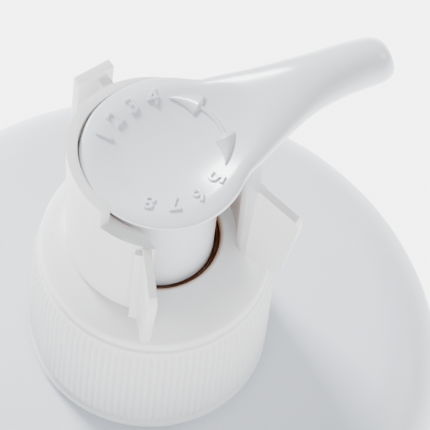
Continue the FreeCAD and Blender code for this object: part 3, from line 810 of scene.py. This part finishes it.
@dataclass
class LockClip:
    """The C-shaped clip that keeps the head up."""

    rounding: float = 0.35 * MM

    def build(self) -> None:
        """Round the clip's edges on a merged copy of its CAD shape."""
        bm = merged_copy("lock_clip")
        clip = finish_mesh("clip_ring", bm, "lock_clip", "clip_pp", CLIP_PLASTIC.build(), "lock_clip")
        soften(clip, self.rounding, 3)


@dataclass
class PumpInside:
    """The hidden pump pieces, which keep their CAD shape, and the oil around the stem, whose dark tone also
    paints the gap's shade.
    """

    film_gap: float = 0.15 * MM

    def build(self) -> None:
        """Dress the carried-over nodes and lay the oil in the gap."""
        pump = PUMP_PLASTIC.build()
        finishes = {
            "pump_housing": pump, "guide_collar": pump, "inlet_ball_cage": pump, "piston_carrier": pump,
            "outlet_ball_cage": pump, "piston": PISTON_PLASTIC.build(), "dip_tube": TUBE_PLASTIC.build(),
            "gasket": GASKET_FOAM.build(), "stem_seal": SEAL_RUBBER.build(),
            "spring": Steel("spring_steel", 0.28).build(),
        }
        finishes["inlet_ball"] = finishes["outlet_ball"] = Steel("ball_steel", 0.12).build()
        for node, material in finishes.items():
            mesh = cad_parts[node].data
            mesh.materials.clear()
            mesh.materials.append(material)
            log.info("%s: finish %s", node, material.name)
        self._oil_and_gap_shade()

    def _oil_and_gap_shade(self) -> None:
        """Fill the gap round the stem with a dark meniscus of oil that also stands in as painted shade in
        the gap.
        """
        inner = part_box("stem")[1][0] + self.film_gap
        outer = ScrewCap.hole_radius - 0.05 * MM
        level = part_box("cap")[1][2] - 1.7 * MM
        outline = [(inner, level), (outer, level)]
        outline += arc(((inner + outer) / 2, level + 0.9 * MM), (outer - inner) / 2, 0, -180, 8)
        outline = [(inner, level - 0.5 * MM), (outer, level - 0.5 * MM)] + outline[2:]
        finish_mesh("oil_meniscus_and_gap_shade", spun(outline, 96), "pump", "seal_rubber", OilAndShadeFilm().build())


@dataclass
class Studio:
    """Floor, soft lights and camera."""

    elevation: float = 60.0
    roll: float = 6.9
    distance: float = 1.29
    lens: float = 600.0
    sensor: float = 36.0
    aim_across: float = 12.2 * MM
    aim_up: float = 19.4 * MM

    def build(self) -> None:
        """Make the floor, lights and camera."""
        self._floor()
        self._light("key", (-0.75, 0.75, 0.75), 0.35, 40.0)
        self._light("fill", (0.2, -1.0, 0.9), 0.9, 12.0)
        self._light("rim_right", (1.1, 0.5, 0.5), 0.5, 7.0)
        world = bpy.data.worlds.new("studio")
        world.use_nodes = True
        backdrop = world.node_tree.nodes["Background"]
        backdrop.inputs["Color"].default_value = (0.97, 0.985, 1.0, 1.0)
        backdrop.inputs["Strength"].default_value = 0.5
        bpy.context.scene.world = world
        self._camera()

    def _floor(self) -> None:
        """Lay a plain pale floor."""
        bm = bmesh.new()
        bmesh.ops.create_grid(bm, x_segments=1, y_segments=1, size=6.0)
        mesh = bpy.data.meshes.new("floor")
        bm.to_mesh(mesh)
        bm.free()
        material = bpy.data.materials.new("floor")
        material.use_nodes = True
        shader = material.node_tree.nodes["Principled BSDF"]
        shader.inputs["Base Color"].default_value = (1.0, 1.0, 1.0, 1.0)
        shader.inputs["Roughness"].default_value = 0.9
        shader.inputs["Emission Color"].default_value = (1.0, 1.0, 1.0, 1.0)
        shader.inputs["Emission Strength"].default_value = 3.2
        mesh.materials.append(material)
        floor = bpy.data.objects.new("floor", mesh)
        bpy.context.scene.collection.objects.link(floor)

    def _light(self, name: str, where: tuple[float, float, float], size: float, power: float) -> None:
        """Hang a soft box that faces the pump.

        Args:
            name: The light's name.
            where: Its place, in metres from the pump's foot.
            size: Side of the square, in metres.
            power: Power, in watts.
        """
        data = bpy.data.lights.new(name, "AREA")
        data.size = size
        data.energy = power
        light = bpy.data.objects.new(name, data)
        target = Vector((0.0, 0.0, 0.25))
        light.location = Vector(where) + target
        light.rotation_mode = "QUATERNION"
        light.rotation_quaternion = (-Vector(where)).to_track_quat("-Z", "Y")
        bpy.context.scene.collection.objects.link(light)

    def _camera(self) -> None:
        """Place the camera above and in front, slightly rolled."""
        tilt = math.radians(self.elevation)
        back = Vector((0.0, -math.cos(tilt), math.sin(tilt)))
        level = Vector((1.0, 0.0, 0.0))
        upright = back.cross(level)
        turn = math.radians(self.roll)
        right = level * math.cos(turn) + upright * math.sin(turn)
        up = upright * math.cos(turn) - level * math.sin(turn)
        rim = Vector((0.0, 0.0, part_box("cap")[0][2]))
        aim = rim + right * self.aim_across + up * self.aim_up
        data = bpy.data.cameras.new("camera")
        data.lens = self.lens
        data.sensor_width = self.sensor
        data.clip_end = 20.0
        camera = bpy.data.objects.new("camera", data)
        bpy.context.scene.collection.objects.link(camera)
        matrix = Matrix((right, up, back)).transposed().to_4x4()
        matrix.translation = aim + back * self.distance
        camera.matrix_world = matrix
        bpy.context.scene.camera = camera


def main() -> None:
    """Build the studio and every sub-assembly in order."""
    for part in (Studio(), Bottle(), ScrewCap(), Actuator(), LockClip(), PumpInside()):
        log.info("building %s", type(part).__name__)
        part.build()


if __name__ == "__main__":
    main()
